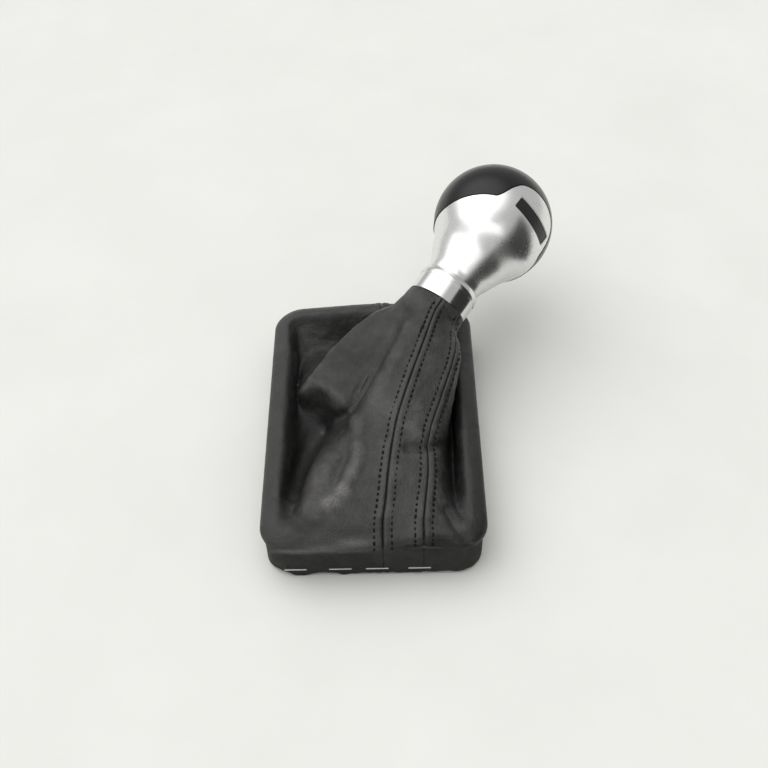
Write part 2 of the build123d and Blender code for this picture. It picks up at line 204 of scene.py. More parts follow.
def leather_material():
    """Dark grained leather with a soft sheen, paler where it is worn or a highlight is painted, and
    duller in the shade.
    """
    material, tree, shader = new_material("gaiter_leather")
    place = object_coordinates(tree)
    mottle = noise_texture(tree, place, mottle_scale, 4.0)
    # Attribute that pales the leather: real wear on ridges, and painted highlights
    wear_and_highlight_node = tree.nodes.new("ShaderNodeAttribute")
    wear_and_highlight_node.attribute_name = "wear_and_highlight"
    base = ramp(tree, mottle, [(0.3, leather_dark), (0.75, leather_pale)])
    mix = tree.nodes.new("ShaderNodeMixRGB")
    mix.inputs["Color2"].default_value = (*leather_wear_and_highlight, 1.0)
    link(tree, base, mix.inputs["Color1"])
    fleck = noise_texture(tree, place, fleck_scale, 2.0)
    fleck = ramp(tree, fleck, [(0.4, grey(0.6)), (0.65, grey(1.0))])
    amount = tree.nodes.new("ShaderNodeMath")
    amount.operation = "MULTIPLY"
    link(tree, wear_and_highlight_node.outputs["Fac"], amount.inputs[0])
    link(tree, fleck, amount.inputs[1])
    link(tree, amount.outputs[0], mix.inputs["Fac"])
    link(tree, mix.outputs["Color"], shader.inputs["Base Color"])
    sheen = noise_texture(tree, place, sheen_scale, 3.0)
    sheen = ramp(tree, sheen, [(0.3, grey(0.36)), (0.7, grey(0.5))])
    dull = tree.nodes.new("ShaderNodeAttribute")
    dull.attribute_name = "dull"
    shine = ramp(tree, dull.outputs["Fac"], [(0.0, grey(0.54)), (1.0, grey(0.3))])
    link(tree, shine, shader.inputs["Specular IOR Level"])
    rougher = tree.nodes.new("ShaderNodeMath")
    rougher.operation = "MULTIPLY_ADD"
    rougher.inputs[1].default_value = dull_roughness
    link(tree, dull.outputs["Fac"], rougher.inputs[0])
    link(tree, sheen, rougher.inputs[2])
    link(tree, rougher.outputs[0], shader.inputs["Roughness"])
    grain = cell_texture(tree, place, grain_scale)
    grain = ramp(tree, grain, [(0.0, grey(0.0)), (0.22, grey(1.0))])
    creases = noise_texture(tree, place, crease_scale, 6.0, 0.65)
    normal = bump(tree, grain, 0.34, grain_depth)
    normal = bump(tree, creases, 0.62, crease_depth, normal)
    link(tree, normal, shader.inputs["Normal"])
    return material


def satin_metal(name, colour, rough):
    """Plated metal look with a faint cloudiness in its roughness."""
    material, tree, shader = new_material(name)
    place = object_coordinates(tree)
    shader.inputs["Base Color"].default_value = (*colour, 1.0)
    shader.inputs["Metallic"].default_value = 1.0
    cloudy(tree, shader, place, metal_scale, 4.0, rough, metal_spread)
    return material


def moulded_plastic(name, colour, rough, grain, shine=0.5):
    """Moulded plastic with a fine spark-eroded grain, or a polished one."""
    material, tree, shader = new_material(name)
    place = object_coordinates(tree)
    pale = tuple(min(c * 1.25 + 0.002, 1.0) for c in colour)
    tint(tree, shader, place, tint_scale, 2.0, colour, pale)
    cloudy(tree, shader, place, plastic_scale, 3.0, rough, plastic_spread)
    shader.inputs["Specular IOR Level"].default_value = shine
    if grain:
        fine = noise_texture(tree, place, spark_scale, 3.0)
        link(tree, bump(tree, fine, grain, spark_depth), shader.inputs["Normal"])
    return material


leather_finish = leather_material()
shell_finish = satin_metal("shell_satin", (0.84, 0.84, 0.83), 0.28)
ring_finish = satin_metal("ring_satin", (0.80, 0.80, 0.795), 0.2)
collar_finish = satin_metal("collar_chrome", (0.82, 0.82, 0.82), 0.16)
steel_finish = satin_metal("wire_steel", (0.78, 0.78, 0.76), 0.25)
cap_finish = moulded_plastic("cap_black", (0.009, 0.009, 0.009), 0.22, 0.0, 0.3)
badge_finish = moulded_plastic("badge_black", (0.006, 0.006, 0.007), 0.3, 0.0)
button_finish = moulded_plastic("button_black", (0.02, 0.02, 0.022), 0.3, 0.1)
core_finish = moulded_plastic("core_plastic", (0.035, 0.035, 0.037), 0.55, 0.3)
frame_finish = moulded_plastic("frame_plastic", (0.03, 0.03, 0.03), 0.6, 0.35)
thread_finish = moulded_plastic("seam_thread", (0.008, 0.008, 0.008), 0.8, 0.4, 0.15)
# Near black for the painted shadow in the knob's parting gap
parting_shadow_finish = moulded_plastic("parting_shadow", (0.002, 0.002, 0.002), 0.9, 0.0, 0.05)

finishes = {
    "shell_satin": shell_finish,
    "collar_chrome": collar_finish,
    "cap_black": cap_finish,
    "badge_black": badge_finish,
    "button_black": button_finish,
    "core_plastic": core_finish,
    "frame_plastic": frame_finish,
    "gaiter_leather": leather_finish,
    "wire_steel": steel_finish,
}
slot_of = {part["node"]: part["material_slot"] for part in frame["record"]["subparts"]}
for name, node in nodes.items():
    node.data.materials.clear()
    node.data.materials.append(ring_finish if name == "neck_ring" else finishes[slot_of[name]])


# Rim outline, walked clockwise from the middle of the front, as in the CAD source
half_front = trim_width / 2 - corner_radius
half_side = trim_length / 2 - corner_radius
corner_arc = math.pi * corner_radius / 2
rim_length = 4 * (half_front + half_side + corner_arc)
left_start = half_front + corner_arc
rear_start = left_start + 2 * half_side + corner_arc
right_start = rear_start + 2 * half_front + corner_arc
front_start = right_start + 2 * half_side + corner_arc
lip_foot = trim_height - lip_height


def on_front(x):
    return -x % rim_length


def on_left(y):
    return left_start + half_side + y


def on_rear(x):
    return rear_start + half_front + x


def on_right(y):
    return right_start + half_side - y


def rim_point(travel, inset, height):
    """Point at a height over the rim outline, moved in by inset along the outline's normal."""
    travel = travel % rim_length
    reach = corner_radius - inset
    sides = [
        (0.0, half_front, 0.0, -half_side, 270.0),
        (left_start, 2 * half_side, -half_front, -half_side, 180.0),
        (rear_start, 2 * half_front, -half_front, half_side, 90.0),
        (right_start, 2 * half_side, half_front, half_side, 0.0),
        (front_start, half_front, half_front, -half_side, -90.0),
    ]
    start, length, x, y, normal = [side for side in sides if side[0] <= travel][-1]
    straight = min(travel - start, length)
    heading = math.radians(normal)
    x += straight * math.sin(heading)
    y -= straight * math.cos(heading)
    heading -= (travel - start - straight) / corner_radius
    return (x + reach * math.cos(heading), y + reach * math.sin(heading), height)


# Gaiter sections: place on the rim, angle on the neck, drop inside the rim and folds from rim to neck
seam_one = on_front(3.7)
seam_two = on_front(20.0)
rear_seam = on_rear(4.5)
gaiter_sections = [
    (seam_one, 28, 0.0,
     [(5, -50, 27.5), (6.2, -38, 31.5), (9.5, -18, 36.5), (14.3, -1.6, 40.5), (22, 20, 45.5)]),
    (on_front(-16), 5, 0.0,
     [(-15.5, -50, 26.5), (-11, -36, 28.5), (-5.5, -18, 31), (2.5, 4, 38), (14, 22.5, 44)]),
    (half_front + corner_arc / 2, -14, 0.5,
     [(-28, -49, 24.2), (-21.5, -32, 25.5), (-11, -12, 25.5), (-1.5, 8, 29.5), (11, 28, 41)]),
    (on_left(-28), -30, 1.0,
     [(-33, -26, 11), (-27, -8, 9.5), (-17, 4, 15), (-12.5, -1, 25.5), (4, 30, 38)]),
    (on_left(2), -50, 1.0,
     [(-34, 3, 11), (-29, 8, 10), (-22, 10, 15), (-22, 9, 25.5), (-6, 32, 34.5)]),
    (on_left(26), -72, 1.0,
     [(-34.5, 24, 12.5), (-34, 18, 17), (-31, 15, 24), (-20, 29.5, 30), (-2, 45.5, 36)]),
    (rear_start - corner_arc / 2, -98, 1.0,
     [(-30, 48, 12), (-24, 42, 13), (-14, 42, 18), (-4, 48, 25), (8, 56, 32)]),
    (rear_seam, -128, 1.0,
     [(5, 54, 12), (8, 48, 10), (13, 47, 14), (17, 50, 19), (20, 54.5, 25)]),
    (right_start - corner_arc / 2, -170, 1.0,
     [(31, 52, 13), (27, 46, 11), (25, 43, 14), (26, 45, 18), (28, 49.5, 22.5)]),
    (on_right(18), -220, 1.0,
     [(35, 19, 12), (33.5, 22, 11), (33.5, 26, 16), (34.5, 30, 21), (36.5, 37, 25)]),
    (on_right(-28), -248, 1.0,
     [(34.5, -27, 12), (32.5, -22, 13.5), (32, -12, 20), (35, 4, 27), (38.8, 22, 32.5)]),
    (front_start - corner_arc / 2, -266, 0.5,
     [(30.5, -50, 24), (29, -38, 26), (28.5, -20, 29), (33.5, -2, 32.5), (38.5, 20, 38)]),
    (seam_two, -283, 0.0,
     [(21, -50, 27), (22.5, -38, 29.5), (23.5, -20, 32.5), (29.5, -2, 37), (36, 18, 42)]),
]

# Leather over the lip: inset with the height over the lip's foot, then inset with the depth
# under the crest, and how far each of these points follows where the lip's edge is drawn in
lip_side = [(lip_overhang, -2.0), (0.6, 0.2), (0.0, 1.8)]
lip_crest = [(0.8, 3.9), (2.6, 2.6), (rim_width - 3.4, 0.9)]
side_follow = (0.0, 0.6, 1.0)
crest_follow = (1.0, 0.8, 0.2)
front_inside = [(rim_width - 1.2, 0.1), (rim_width + 2.0, -0.7)]
side_inside = [(rim_width - 1.0, 0.5), (rim_width + 1.2, 4.6)]

# Where the lip's edge is drawn in along the front: place on the rim, reach, inset and rise
drawn_in = [
    (on_front(26.0), 9.0, 2.6, 2.2),
    (on_front(12.0), 12.0, 1.0, 1.0),
    (on_front(-34.0), 12.0, 0.0, -0.7),
]

# Where the whole rim is pulled up: place on the rim, reach and rise
pulled_up = [(on_rear(2.0), 26.0, 2.8), (on_left(60.0), 14.0, -0.8)]

# Flaps and nicks of the lower edge: place on the rim, reach and rise
edge_flaps = [
    (on_front(-39.0), 5.0, 1.4),
    (on_front(-30.5), 3.6, -1.6),
    (on_front(-22.0), 4.5, 1.0),
    (on_front(-12.0), 2.2, -0.9),
    (on_front(30.0), 5.0, 0.8),
]

# Roughness of the lower edge: scale along the rim, seed and height, and the lowest that it comes
edge_noise = [(0.06, 3.1, 0.9), (0.35, 7.7, 0.6)]
edge_lowest = 0.3


def nearness(travel, place, reach):
    """One at a place on the rim, falling to nought beyond its reach, the short way round."""
    gap = (travel - place + rim_length / 2) % rim_length - rim_length / 2
    return math.exp(-((gap / reach) ** 2))


def ragged(travel):
    """Height of the leather's rough lower edge."""
    height = edge_height
    for scale, seed, amount in edge_noise:
        height += amount * noise.noise(Vector((travel * scale, seed, 0.0)))
    for place, reach, rise in edge_flaps:
        height += rise * nearness(travel, place, reach)
    return height


def drawn(travel):
    """How far the lip's edge is drawn in and up at a place on the rim."""
    inward = upward = 0.0
    for place, reach, inset, rise in drawn_in:
        share = nearness(travel, place, reach)
        inward += inset * share
        upward += rise * share
    return inward, upward


def pulled(travel):
    """How far the whole rim is pulled up at a place on it."""
    return sum(rise * nearness(travel, place, reach) for place, reach, rise in pulled_up)


def wrap_points(travel, drop):
    """Leather from its stapled edge, up the wall, round the lip and over the crest of the rim."""
    edge = max(ragged(travel), edge_lowest)
    profile = [(lip_overhang, edge), (lip_overhang, (edge + lip_foot) / 2)]
    inward, upward = drawn(travel)
    top = trim_height + pulled(travel)
    for (inset, rise), share in zip(lip_side, side_follow):
        profile.append((inset + inward * share, lip_foot + rise + upward * share))
    for (inset, depth), share in zip(lip_crest, crest_follow):
        profile.append((inset + inward * share, top - depth + upward * share))
    for (front, shallow), (side, deep) in zip(front_inside, side_inside):
        inset = front + (side - front) * drop
        profile.append((inset, top - shallow - (deep - shallow) * drop))
    return [rim_point(travel, inset, height) for inset, height in profile]


def smooth(places, rows, targets):
    """Values at target places, by a smooth curve through rows of values at places."""
    places = np.asarray(places)
    rows = np.asarray(rows)
    targets = np.atleast_1d(targets)
    index = np.clip(np.searchsorted(places, targets, side="right") - 1, 0, len(places) - 2)
    before = np.maximum(index - 1, 0)
    after = np.minimum(index + 2, len(places) - 1)
    low, high = places[index], places[index + 1]
    span = high - low
    t = ((targets - low) / span)[:, None]
    slope_b = (rows[index + 1] - rows[before]) * (span / (high - places[before]))[:, None]
    slope_c = (rows[after] - rows[index]) * (span / (places[after] - low))[:, None]
    start = (2 * t**3 - 3 * t**2 + 1) * rows[index] + (t**3 - 2 * t**2 + t) * slope_b
    return start + (3 * t**2 - 2 * t**3) * rows[index + 1] + (t**3 - t**2) * slope_c


def arc_places(line):
    """Length along a line of points, up to each of them."""
    return np.concatenate([[0.0], np.cumsum(np.linalg.norm(np.diff(line, axis=0), axis=1))])


# The sections three laps in a row, so that curves through them close
section_places = []
section_rows = []
for lap in (-1, 0, 1):
    for place, angle, drop, folds in gaiter_sections:
        section_places.append((place - seam_one) % rim_length + lap * rim_length)
        section_rows.append([angle - 360 * lap, drop] + [value for fold in folds for value in fold])


def hem_point(angle, height, radius):
    """Point on the leather's neck, at an angle round the lever."""
    turn = math.radians(angle)
    around = upper_side * math.cos(turn) + right_side * math.sin(turn)
    return flange_centre + lever_axis * height + around * radius


# Rounding of the turn from the rim into the folds: rounds of smoothing and reach in rows
row_count = wrap_rows + fold_rows + 1
turn_rounds = 50
turn_reach = 14.0
turn_weight = np.exp(-(((np.arange(row_count) - wrap_rows) / turn_reach) ** 2))


def gaiter_line(travel):
    """Outer face of the leather along one line, from the stapled edge to the hem."""
    values = smooth(section_places, section_rows, (travel - seam_one) % rim_length)[0]
    angle, drop = values[0], min(max(values[1], 0.0), 1.0)
    wrap = wrap_points(travel, drop)
    folds = [tuple(values[k:k + 3]) for k in range(2, len(values), 3)]
    neck = [
        hem_point(angle, hem_height - hem_tube, hem_radius + hem_flare),
        hem_point(angle, hem_height, hem_radius),
    ]
    line = np.array(wrap + folds + neck)
    places = arc_places(line)
    turn_in = places[len(wrap) - 1]
    steps = np.concatenate([
        np.linspace(0, turn_in, wrap_rows, endpoint=False),
        np.linspace(turn_in, places[-1], fold_rows + 1),
    ])
    return softened(smooth(places, line, steps))


def softened(line):
    """The line with its turn from the rim into the folds rounded off."""
    line = line.copy()
    for _ in range(turn_rounds):
        middle = (line[:-2] + 2 * line[1:-1] + line[2:]) / 4
        line[1:-1] += turn_weight[1:-1, None] * (middle - line[1:-1])
    return line


def grid_normals(grid):
    """Outward normals of a grid of points, columns along the rim and rows up the leather."""
    across = np.gradient(grid, axis=0)
    along = np.gradient(grid, axis=1)
    normals = np.cross(along, across)
    return normals / np.linalg.norm(normals, axis=2, keepdims=True)


seed_steps = (13.7, 5.1, 9.3)


def ripple(points, scale, seed):
    """Smooth noise at each point of a grid, about minus one to one."""
    shift = Vector([seed * step for step in seed_steps])
    flat = points.reshape(-1, 3) * scale
    values = [noise.noise(Vector(point) + shift) for point in flat]
    return np.array(values).reshape(points.shape[:2])


# Folds and creases of the leather: a line in the view, its width in pixels and its rise in millimetres
fold_strokes = [
    ([(387, 305), (362, 322), (342, 337), (322, 357), (307, 375)], 5.0, 0.6),
    ([(304, 392), (313, 383), (328, 389), (343, 403), (353, 416)], 6.0, 0.6),
    ([(408, 328), (398, 348), (386, 368), (374, 388), (364, 406), (359, 424)], 11.0, 2.4),
    ([(359, 424), (359, 446), (355, 466), (345, 485), (329, 505)], 9.0, 2.0),
    ([(402, 312), (387, 345), (372, 371), (360, 394), (350, 414)], 11.0, -2.2),
    ([(345, 440), (331, 458), (318, 480), (311, 505)], 12.0, 2.2),
    ([(347, 456), (341, 470), (334, 486)], 3.5, -0.5),
    ([(366, 468), (356, 484)], 5.0, -0.6),
    ([(322, 430), (307, 455), (297, 478), (293, 494)], 9.0, -2.6),
    ([(414, 428), (418, 434)], 9.0, 1.2),
    ([(408, 447), (424, 448), (440, 445)], 5.0, -1.1),
    ([(335, 437), (312, 476), (290, 516)], 4.5, 0.4),
    ([(292, 326), (297, 350)], 4.5, -1.0),
    ([(408, 547), (425, 546), (440, 541), (455, 541), (470, 546)], 3.5, -1.0),
    ([(447, 510), (455, 526), (466, 539)], 5.0, -1.2),
    ([(294, 518), (312, 531)], 7.0, -1.0),
    ([(322, 516), (345, 524), (372, 522)], 9.0, 0.7),
    ([(372, 412), (384, 420), (388, 436)], 4.0, -0.4),
    ([(354, 392), (362, 378)], 2.4, -0.35),
    ([(359, 391), (367, 376)], 2.4, 0.3),
    ([(364, 388), (372, 373)], 2.4, -0.35),
    ([(369, 384), (377, 369)], 2.4, 0.3),
]

# Part of the big fold that is rounded off: middle and reach in the view, and rounds of smoothing
fold_ease = ((340.0, 392.0), (30.0, 26.0), 150)

# How soon a stroke takes hold as the leather turns to the view
facing_gain = 4.0


def in_spot(points, middle, reach):
    """One at a place in the view, falling to nought beyond its reach."""
    offset = (in_view(points) - np.array(middle)) / np.array(reach)
    return np.exp(-((offset ** 2).sum(axis=-1)))


def neighbour_mean(grid):
    """Mean of the four neighbours of each inner point of a grid."""
    return (grid[:-2, 1:-1] + grid[2:, 1:-1] + grid[1:-1, :-2] + grid[1:-1, 2:]) / 4


def stroke_rise(points, normals):
    """Rise of the leather at each point by the fold strokes, where it faces the view."""
    seen = in_view(points)
    sight = view_place - points
    facing = (normals * sight).sum(axis=-1) / np.linalg.norm(sight, axis=-1)
    rise = np.zeros(seen.shape[:-1])
    for path, width, height in fold_strokes:
        nearest = np.full(rise.shape, np.inf)
        for start, end in zip(path[:-1], path[1:]):
            start, end = np.array(start, float), np.array(end, float)
            run = end - start
            share = np.clip(((seen - start) @ run) / (run @ run), 0.0, 1.0)
            gap = np.linalg.norm(seen - start - share[..., None] * run, axis=-1)
            nearest = np.minimum(nearest, gap)
        rise += height * np.exp(-((nearest / width) ** 2))
    return rise * np.clip(facing * facing_gain, 0.0, 1.0)


def eased(grid):
    """The grid with the big fold rounded off, its edges held."""
    middle, reach, rounds = fold_ease
    weight = in_spot(grid, middle, reach)[1:-1, 1:-1, None]
    grid = grid.copy()
    for _ in range(rounds):
        grid[1:-1, 1:-1] += weight * (neighbour_mean(grid) - grid[1:-1, 1:-1])
    return grid


# Relief of the seams, in millimetres: the raised allowance, the groove and the dimples at stitches
allowance_rise = 0.36
allowance_past_row = 0.8
allowance_slope = 0.28
groove_depth = 0.42
groove_width = 0.4
dimple_depth = 0.32
dimple_swing = 0.12
dimple_width = 0.7

# Part of the wrap's rows where the relief of the seams sets in, and its share below them
seam_from = 0.45
seam_over = 0.15
seam_least = 0.15

rows = np.arange(row_count)
row_share = np.clip((rows - wrap_rows) / fold_rows, 0.0, 1.0)
row_offset = row_offset_rim + (row_offset_neck - row_offset_rim) * row_share
seam_share = np.clip((rows / wrap_rows - seam_from) / seam_over, seam_least, 1.0)

# Wrinkles: height, scale and seed. They set in over a part of the wrap's rows, the fine ones less so
wrinkles = [(0.45, 0.075, 1), (0.28, 0.19, 2)]
fine_wrinkle = (0.12, 0.42, 3)
free_from = 0.72
free_over = 0.3
fine_least = 0.25
free_share = np.clip((rows - free_from * wrap_rows) / (free_over * wrap_rows), 0.0, 1.0)
fine_share = fine_least + (1 - fine_least) * free_share
least_columns = 8


def seam_relief(distance, arc):
    """Height of the leather beside a seam, by the distance from it and the length along it."""
    offset = row_offset[None, :]
    allowance = (distance - offset - allowance_past_row) / allowance_slope
    plateau = allowance_rise / (1 + np.exp(allowance))
    groove = groove_depth * np.exp(-((distance / groove_width) ** 2))
    row = np.exp(-(((distance - offset) / dimple_width) ** 2))
    beat = np.cos(2 * math.pi * arc / stitch_pitch)
    return (plateau - groove - row * (dimple_depth + dimple_swing * beat)) * seam_share[None, :]


def seam_distance(grid, seam_line):
    return np.linalg.norm(grid - seam_line[None, :, :], axis=2)


seam_lines = {place: gaiter_line(place) for place in (seam_one, seam_two, rear_seam)}
seam_arcs = {place: arc_places(line) for place, line in seam_lines.items()}


def panel_grid(start, end):
    """Outer face of a panel between two seams, with its folds, seams and wrinkles."""
    width = (end - start) % rim_length - seam_gap
    count = max(int(math.ceil(width / column_pitch)), least_columns)
    travels = start + seam_gap / 2 + width * np.linspace(0.0, 1.0, count + 1)
    grid = eased(np.array([gaiter_line(travel) for travel in travels]))
    normals = grid_normals(grid)
    relief = stroke_rise(grid, normals)
    first_half = np.arange(count + 1) < count / 2
    for seam, near in ((start, first_half), (end, ~first_half)):
        distance = seam_distance(grid, seam_lines[seam])
        relief += np.where(near[:, None], seam_relief(distance, seam_arcs[seam][None, :]), 0.0)
    waves = sum(height * ripple(grid, scale, seed) for height, scale, seed in wrinkles)
    relief += waves * free_share[None, :]
    height, scale, seed = fine_wrinkle
    relief += height * ripple(grid, scale, seed) * fine_share[None, :]
    return grid + normals * relief[:, :, None]


def smooth_mesh(name, vertices, faces):
    """Smooth shaded mesh of points in millimetres."""
    mesh = bpy.data.meshes.new(name)
    mesh.from_pydata([tuple(vertex * MM) for vertex in vertices], [], faces)
    for polygon in mesh.polygons:
        polygon.use_smooth = True
    return mesh


def mesh_from_grid(name, grid):
    columns, height = grid.shape[:2]
    faces = []
    for i in range(columns - 1):
        for j in range(height - 1):
            a = i * height + j
            faces.append((a, a + 1, a + height + 1, a + height))
    return smooth_mesh(name, grid.reshape(-1, 3), faces)


# Painted highlights at places in the view, and one lint speck: middle and reach in the view, and how
# far the colour is paled
highlight_and_lint_spots = [
    ((357.0, 455.0), (5.0, 12.0), 0.35),
    ((352.0, 474.0), (6.0, 9.0), 0.6),
    ((343.0, 490.0), (8.0, 7.0), 1.0),
    ((332.0, 502.0), (9.0, 6.0), 1.2),
    ((322.0, 478.0), (14.0, 22.0), 0.3),
    ((418.0, 418.0), (12.0, 18.0), 0.35),
    ((380.0, 402.0), (16.0, 18.0), 0.25),
    ((412.0, 480.0), (14.0, 50.0), 0.14),
    ((312.0, 330.0), (22.0, 14.0), 0.3),
    ((322.0, 433.0), (2.2, 1.6), 0.9),
    ((392.0, 340.0), (6.0, 16.0), 0.15),
    ((354.0, 543.0), (18.0, 5.0), 0.7),
    ((325.0, 549.0), (20.0, 3.5), 0.6),
    ((292.0, 551.5), (22.0, 1.8), 0.8),
]

# Wear of the ridges: rounds of smoothing that they are measured from, wear for each millimetre, most
ridge_rounds = 12
ridge_wear = 0.8
ridge_most = 0.2


def wear_and_highlight_of(grid):
    """How pale each point is: worn ridges that stand out, and painted highlights with one lint speck
    at a few places.
    """
    normals = grid_normals(grid)
    mean = grid.copy()
    for _ in range(ridge_rounds):
        mean[1:-1, 1:-1] = neighbour_mean(mean)
    stand = ((grid - mean) * normals).sum(axis=2)
    stand[:, :wrap_rows] = 0.0
    wear_and_highlight = np.clip(stand * ridge_wear, 0.0, ridge_most)
    # Painted highlights, and one lint speck, at places in the view
    for middle, reach, amount in highlight_and_lint_spots:
        wear_and_highlight += amount * in_spot(grid, middle, reach)
    return np.clip(wear_and_highlight, 0.0, 1.0)


# Dull wall under the lip: share of the wrap's rows below the lip's edge, rows gained for each
# millimetre that the edge is drawn in, and rows over which the dullness fades
lip_share = 0.56
drawn_rows = 3.5
dull_fade = 2.0

# Duller places in the view, where weaker sheen paints shade: middle, reach and amount
painted_shade_places = [
    ((352.0, 362.0), (26.0, 24.0), 0.45),
    ((306.0, 450.0), (15.0, 38.0), 0.6),
    ((306.0, 527.0), (16.0, 8.0), 0.5),
]


def dull_share(start, end, grid):
    """How dull each point of a panel is: the wall under the lip, and a few places in the view where
    dullness paints shade.
    """
    width = (end - start) % rim_length
    columns = len(grid)
    shares = np.empty((columns, row_count))
    for i in range(columns):
        inward = drawn(start + width * i / (columns - 1))[0]
        edge = lip_share * wrap_rows + drawn_rows * inward
        shares[i] = np.clip((edge - rows) / (dull_fade * (1 + inward)) + 0.5, 0.0, 1.0)
    # Painted shade: weaker sheen at a few places in the view
    for middle, reach, amount in painted_shade_places:
        shares += amount * in_spot(grid, middle, reach)
    return np.clip(shares, 0.0, 1.0)


def leather_piece(name, start, end, node, flat, area):
    """A panel of leather in place of its CAD node."""
    grid = panel_grid(start, end)
    mesh = mesh_from_grid(name, grid)
    # Paleness from wear of the ridges and from painted highlights
    wear_and_highlight = mesh.attributes.new("wear_and_highlight", "FLOAT", "POINT")
    wear_and_highlight.data.foreach_set("value", wear_and_highlight_of(grid).reshape(-1))
    dull = mesh.attributes.new("dull", "FLOAT", "POINT")
    dull.data.foreach_set("value", dull_share(start, end, grid).reshape(-1))
    piece = bpy.data.objects.new(name, mesh)
    bpy.context.collection.objects.link(piece)
    mesh.materials.append(leather_finish)
    thick = piece.modifiers.new("thickness", "SOLIDIFY")
    thick.thickness = leather * MM
    thick.offset = -1.0
    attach(piece, "trim")
    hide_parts(node)


# Name, seams on either side, CAD node, flat size in metres and area in square metres
leather_panels = [
    ("left_leather", seam_one, rear_seam, "gaiter_left_panel", (0.235, 0.135), 0.0163),
    ("right_leather", rear_seam, seam_two, "gaiter_right_panel", (0.18, 0.125), 0.0107),
    ("front_leather", seam_two, seam_one, "gaiter_front_strip", (0.0165, 0.135), 0.00195),
]
for panel in leather_panels:
    leather_piece(*panel)

# Stitches: short sunk lengths of thread in twin rows beside the front seams. Where a row is looked
# for beside its seam, where it starts and ends, and the shape of a stitch: place along it and size
search_near = 0.2
search_far = 16.0
search_count = 60
first_stitch_share = 0.55
last_stitch_gap = 1.5
stitch_sides = 8
stitch_shape = [(-0.5, 0.1), (-0.42, 0.7), (-0.2, 1.0), (0.2, 1.0), (0.42, 0.7), (0.5, 0.1)]
stitch_rise = 0.02
stitch_end_sink = 0.25

# How far stitches stray in size, length, height, place and slant
stray_step = 1.7
stray_size = 0.4
stray_length = 0.5
stray_rise = 0.2
stray_sway = 0.25
stray_lean = 0.25


def stitch_row(seam, side):
    """Path of one stitch row with the leather's normals along it."""
    shifts = side * np.linspace(search_near, search_far, search_count)
    lines = np.array([gaiter_line(seam + shift) for shift in shifts])
    normals = grid_normals(lines if side > 0 else lines[::-1])
    normals = normals if side > 0 else normals[::-1]
    distance = seam_distance(lines, seam_lines[seam])
    path = np.empty((row_count, 3))
    facing = np.empty((row_count, 3))
    for j in range(row_count):
        k = max(int(np.argmax(distance[:, j] >= row_offset[j])), 1)
        near, far = distance[k - 1, j], distance[k, j]
        share = min(max((row_offset[j] - near) / (far - near), 0.0), 1.0)
        path[j] = lines[k - 1, j] * (1 - share) + lines[k, j] * share
        facing[j] = normals[k - 1, j] * (1 - share) + normals[k, j] * share
    return path + facing * stroke_rise(path, facing)[:, None], facing


def along_row(at, arc, values):
    return np.array([np.interp(at, arc, values[:, k]) for k in range(3)])


def one_stitch(path, facing, arc, middle, stray):
    """Points of one stitch, ring by ring along the row."""
    size_of = 1.0 + stray_size * noise.noise(stray)
    length = stitch_length * (1.0 + stray_length * noise.noise(stray * 1.3))
    depth = stitch_rise + stray_rise * noise.noise(stray * 1.9)
    sway = stray_sway * noise.noise(stray * 2.1)
    lean = stray_lean * noise.noise(stray * 2.7)
    stations = []
    for share, size in stitch_shape:
        at = middle + share * length
        normal = along_row(at, arc, facing)
        normal /= np.linalg.norm(normal)
        sink = depth - stitch_end_sink * (abs(share) * 2) ** 2
        point = along_row(at, arc, path) + normal * sink
        stations.append((point, normal, size, sway + lean * share * length))
    along = stations[-1][0] - stations[0][0]
    along /= np.linalg.norm(along)
    points = []
    for point, normal, size, aside in stations:
        beside = np.cross(along, normal)
        beside /= np.linalg.norm(beside)
        point = point + beside * aside
        for k in range(stitch_sides):
            turn = 2 * math.pi * k / stitch_sides
            round_by = beside * math.cos(turn) + normal * math.sin(turn)
            points.append(point + round_by * stitch_radius * size * size_of)
    return points


def stitch_faces(base):
    """Faces of one stitch whose points start at base: its sides and both ends."""
    faces = []
    rings = len(stitch_shape)
    for s in range(rings - 1):
        for k in range(stitch_sides):
            a = base + s * stitch_sides + k
            b = base + s * stitch_sides + (k + 1) % stitch_sides
            faces.append((a, b, b + stitch_sides, a + stitch_sides))
    faces.append(tuple(base + k for k in reversed(range(stitch_sides))))
    faces.append(tuple(base + (rings - 1) * stitch_sides + k for k in range(stitch_sides)))
    return faces


def thread_stitches(name, stitch_rows):
    """All stitches as one piece."""
    vertices, faces = [], []
    for path, facing in stitch_rows:
        arc = arc_places(path)
        start = arc[int(wrap_rows * first_stitch_share)]
        count = int((arc[-1] - start - last_stitch_gap) / stitch_pitch)
        for n in range(count):
            middle = start + (n + 0.5) * stitch_pitch
            stray = Vector((n * stray_step, start, arc[-1]))
            faces.extend(stitch_faces(len(vertices)))
            vertices.extend(one_stitch(path, facing, arc, middle, stray))
    mesh = smooth_mesh(name, vertices, faces)
    mesh.materials.append(thread_finish)
    piece = bpy.data.objects.new(name, mesh)
    bpy.context.collection.objects.link(piece)
    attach(piece, "trim")


thread_stitches("seam_stitches", [
    stitch_row(seam_one, 1),
    stitch_row(seam_one, -1),
    stitch_row(seam_two, 1),
    stitch_row(seam_two, -1),
])

# Dark line painted as the shadow in the parting gap between the knob's shell and cap, in the rolled
# frame of the head
ball_radius = 27.3
ball_height = 39.0
badge_turn = math.radians(54.0)
head_roll = math.radians(-8.5)
parting_grow = 0.15
parting_line = [
    (-19.0, -19.6), (-10.9, -18.4), (-0.2, -14.9), (9.5, -9.1), (18.0, -3.1), (24.0, 1.2),
]
tongue_top = 16.0
tongue_side = [
    (4.5, 15.6), (9.1, 14.1), (12.3, 11.9), (14.3, 8.8),
    (15.5, 6.0), (16.6, 2.0), (17.8, -1.5), (19.2, -5.0),
]
curve_points = 240
gap_line_radius = 0.3
gap_line_depth = 0.14

